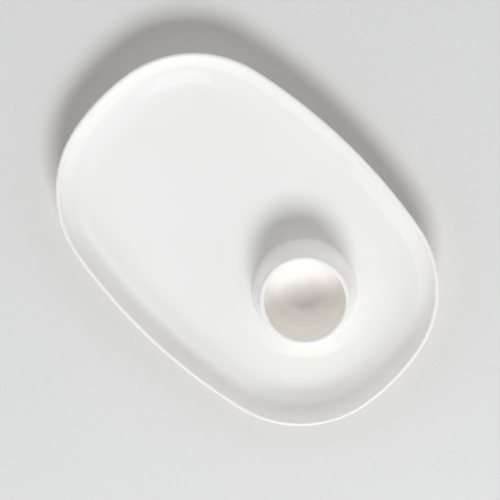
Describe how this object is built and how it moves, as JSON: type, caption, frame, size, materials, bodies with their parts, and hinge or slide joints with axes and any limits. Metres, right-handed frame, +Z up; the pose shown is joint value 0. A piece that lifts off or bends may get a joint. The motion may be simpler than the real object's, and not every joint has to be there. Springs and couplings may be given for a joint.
{
  "type": "egg plate",
  "caption": "Oblong white porcelain plate with a curved raised rim, an oval foot ring, and an egg cup joined to its floor by a flared collar near one end.",
  "frame": {"origin": "middle of the plate's outline, on the table under the foot ring", "axes": "+X along the plate towards the end with the egg cup, +Y across it, +Z up"},
  "size_m": [0.22, 0.151, 0.0343],
  "materials": {
    "glaze": "clear gloss glaze over white porcelain",
    "bare_foot": "glazed sides with an unglazed, ground standing edge"
  },
  "bodies": {
    "root": {"plate": "glaze", "foot_ring": "bare_foot", "egg_cup": "glaze", "cup_collar": "glaze"}
  },
  "joints": []
}
